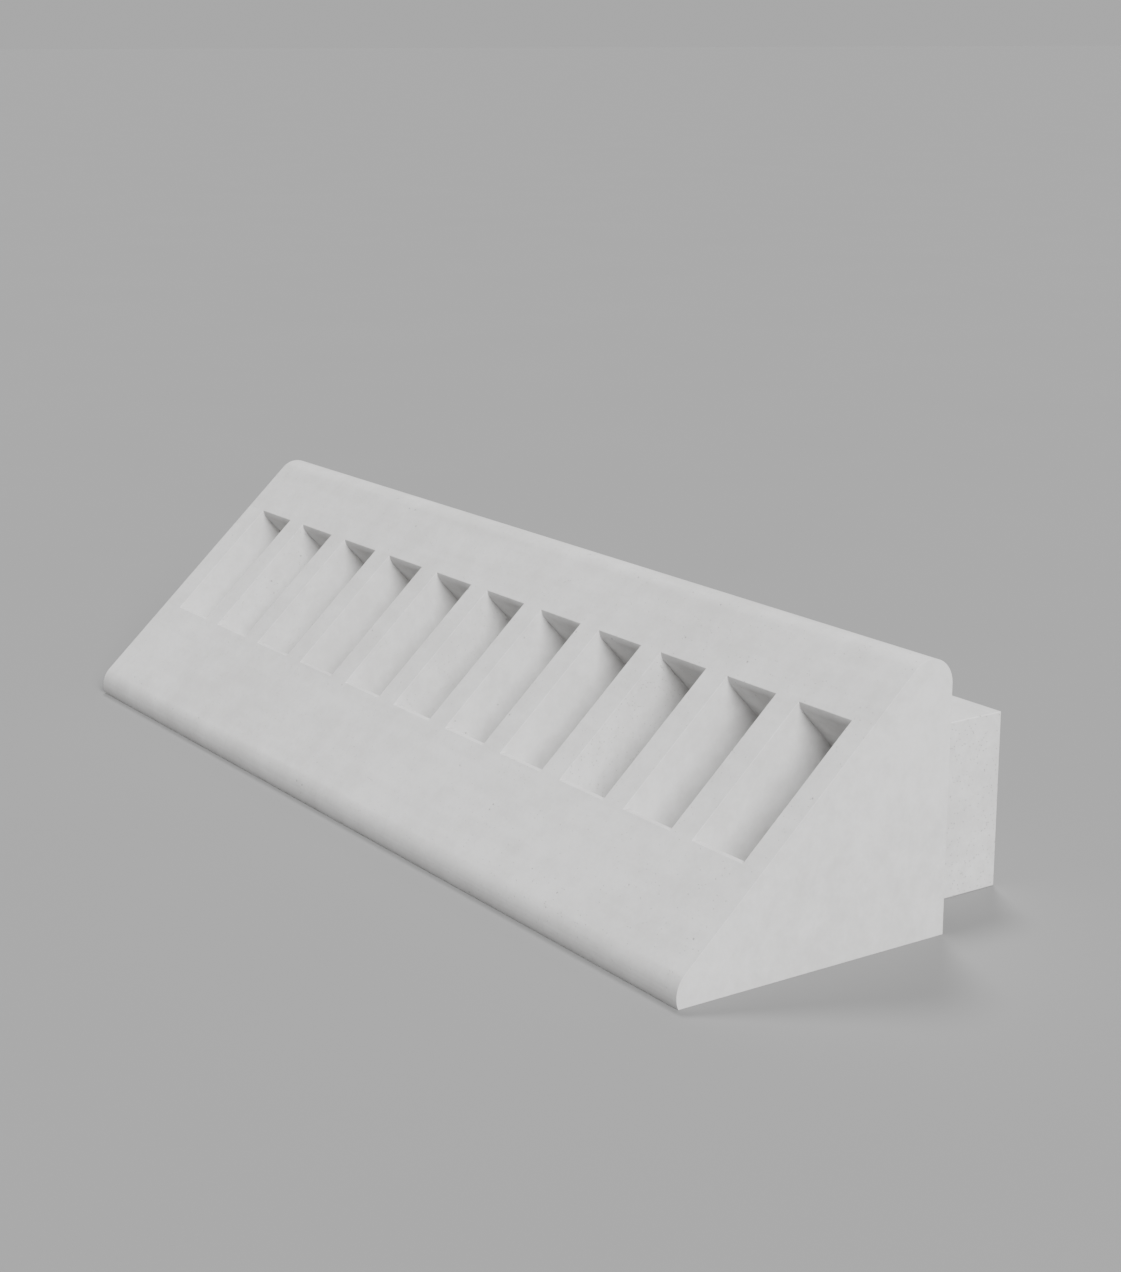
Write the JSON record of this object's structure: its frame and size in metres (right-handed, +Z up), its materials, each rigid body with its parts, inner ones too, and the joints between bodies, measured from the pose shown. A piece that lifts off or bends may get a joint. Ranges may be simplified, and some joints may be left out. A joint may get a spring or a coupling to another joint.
{
  "type": "precast concrete road barrier",
  "caption": "Precast concrete road barrier: a long wedge with one sloping face cut by a row of deep rectangular slots, and a lower block tied against its upright back.",
  "frame": {"origin": "middle of the footprint's box, on the ground", "axes": "+X along the barrier, +Y from the sloping face to the block, +Z up"},
  "size_m": [3.65, 1.3284, 0.815],
  "materials": {
    "wedge_concrete": "fair-faced precast concrete, pale grey and matt",
    "block_concrete": "fair-faced precast concrete, pale grey and matt",
    "spacer_mortar": "cement mortar, darker than the concrete",
    "reinforcing_steel": "hot-rolled bar with a light coat of rust",
    "socket_steel": "zinc-plated steel, dull",
    "sleeve_steel": "plain steel tube, mill finish",
    "rod_steel": "threaded steel rod, dull zinc",
    "galvanised_steel": "hot-dip galvanised steel, mottled grey"
  },
  "bodies": {
    "root": {"back_bar_lower": "reinforcing_steel", "back_bar_middle": "reinforcing_steel", "back_bar_upper": "reinforcing_steel", "block_bar_front_bottom": "reinforcing_steel", "block_bar_front_middle": "reinforcing_steel", "block_bar_front_top": "reinforcing_steel", "block_bar_rear_bottom": "reinforcing_steel", "block_bar_rear_middle": "reinforcing_steel", "block_bar_rear_top": "reinforcing_steel", "block_casting": "block_concrete", "block_hoop_01": "reinforcing_steel", "block_hoop_02": "reinforcing_steel", "block_hoop_03": "reinforcing_steel", "block_hoop_04": "reinforcing_steel", "block_hoop_05": "reinforcing_steel", "block_hoop_06": "reinforcing_steel", "block_hoop_07": "reinforcing_steel", "block_hoop_08": "reinforcing_steel", "block_hoop_09": "reinforcing_steel", "block_hoop_10": "reinforcing_steel", "block_lifting_socket_left": "socket_steel", "block_lifting_socket_right": "socket_steel", "block_spacers": "spacer_mortar", "heel_bar": "reinforcing_steel", "ridge_bar": "reinforcing_steel", "slope_bar_lower": "reinforcing_steel", "slope_bar_upper": "reinforcing_steel", "tie_nuts": "galvanised_steel", "tie_plates": "galvanised_steel", "tie_rods": "rod_steel", "tie_sleeve_1": "sleeve_steel", "tie_sleeve_2": "sleeve_steel", "tie_sleeve_3": "sleeve_steel", "tie_sleeve_4": "sleeve_steel", "tie_sockets": "socket_steel", "toe_bar": "reinforcing_steel", "underside_bar_front": "reinforcing_steel", "underside_bar_middle": "reinforcing_steel", "underside_bar_rear": "reinforcing_steel", "wedge_casting": "wedge_concrete", "wedge_hoop_01": "reinforcing_steel", "wedge_hoop_02": "reinforcing_steel", "wedge_hoop_03": "reinforcing_steel", "wedge_hoop_04": "reinforcing_steel", "wedge_hoop_05": "reinforcing_steel", "wedge_hoop_06": "reinforcing_steel", "wedge_hoop_07": "reinforcing_steel", "wedge_hoop_08": "reinforcing_steel", "wedge_hoop_09": "reinforcing_steel", "wedge_hoop_10": "reinforcing_steel", "wedge_hoop_11": "reinforcing_steel", "wedge_hoop_12": "reinforcing_steel", "wedge_lifting_socket_left": "socket_steel", "wedge_lifting_socket_right": "socket_steel", "wedge_spacers": "spacer_mortar"}
  },
  "joints": []
}
